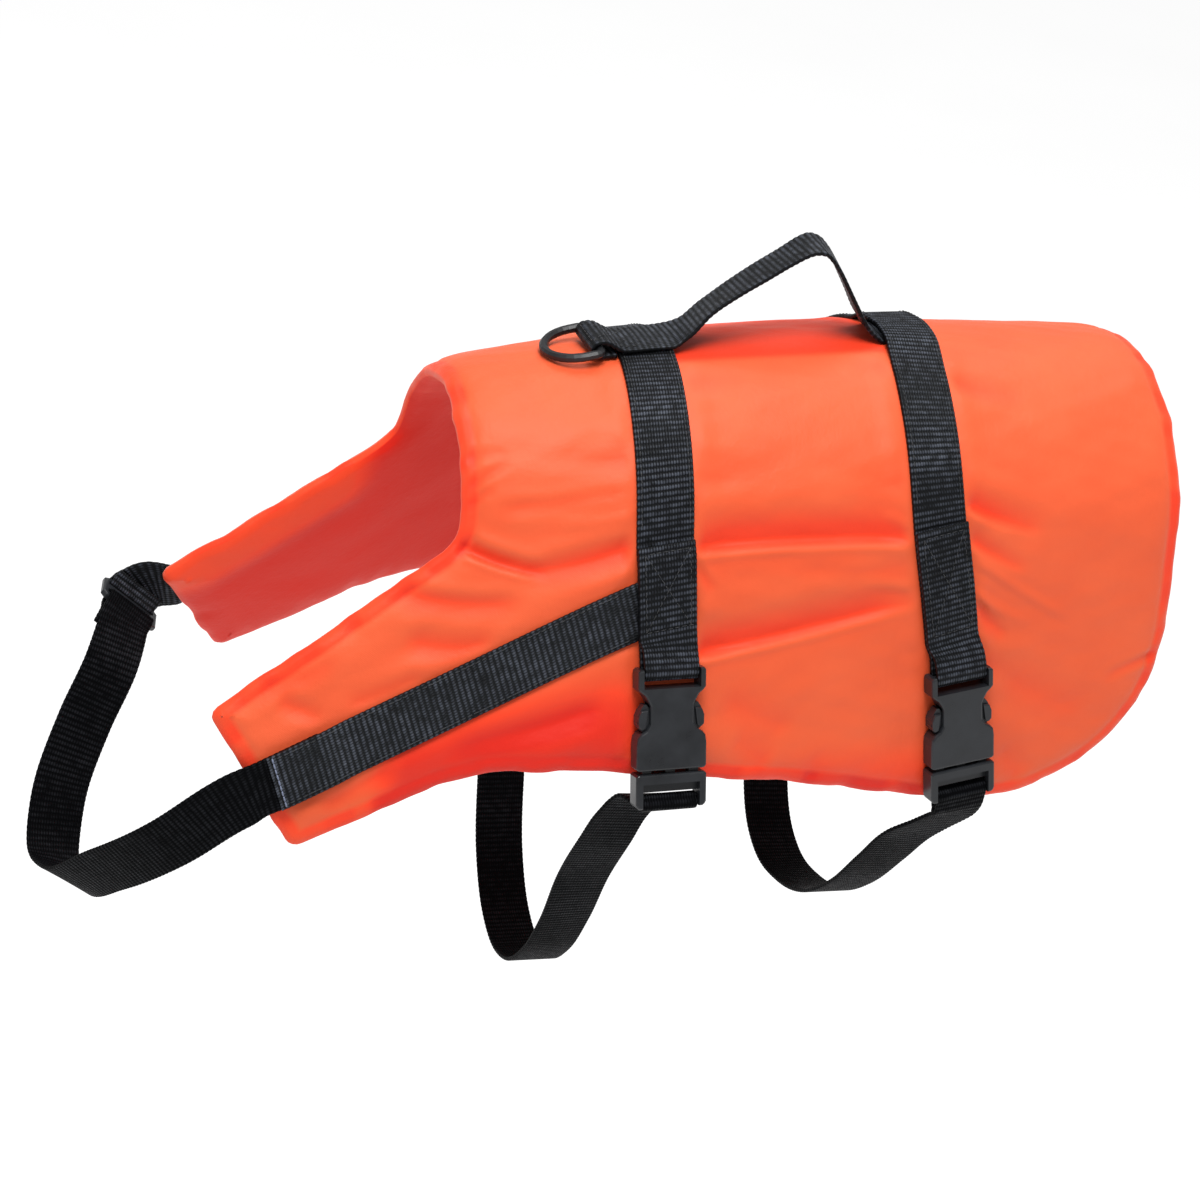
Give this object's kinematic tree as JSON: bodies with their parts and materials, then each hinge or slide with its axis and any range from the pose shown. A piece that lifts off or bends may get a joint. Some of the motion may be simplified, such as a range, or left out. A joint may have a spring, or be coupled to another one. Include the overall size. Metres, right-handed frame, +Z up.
{
  "type": "dog life jacket",
  "caption": "Padded dog life jacket in its worn form, with webbing girth, belly and chest straps, side-release buckles, a carrying handle and a leash ring.",
  "frame": {"origin": "inner face of the back panel at the spine, between the two girth straps, where the wearer's back carries it", "axes": "+X towards the tail, -Y the dog's left side with the buckles, +Z up"},
  "size_m": [0.5011, 0.2356, 0.3947],
  "materials": {
    "orange_nylon": "woven",
    "black_webbing": "ribbed",
    "black_plastic": "fine grained",
    "black_steel": "satin"
  },
  "bodies": {
    "jacket": {"jacket_body": "orange_nylon", "girth_strap_front": "black_webbing", "girth_strap_rear": "black_webbing", "belly_strap_front": "black_webbing", "belly_strap_rear": "black_webbing", "chest_strap_left": "black_webbing", "chest_strap_right": "black_webbing", "chest_strap_free": "black_webbing", "chest_tab": "black_webbing", "handle_strap": "black_webbing", "chest_slider": "black_plastic", "buckle_front_socket": "black_plastic", "buckle_front_plug": "black_plastic", "buckle_rear_socket": "black_plastic", "buckle_rear_plug": "black_plastic"},
    "ring": {"d_ring": "black_steel"}
  },
  "joints": [
    {"name": "d_ring_hinge", "type": "hinge", "parent": "jacket", "child": "ring", "pos_m": [-0.08262, 0, 0.00783], "axis": [0, 1, 0], "range_deg": [0, 160]}
  ]
}
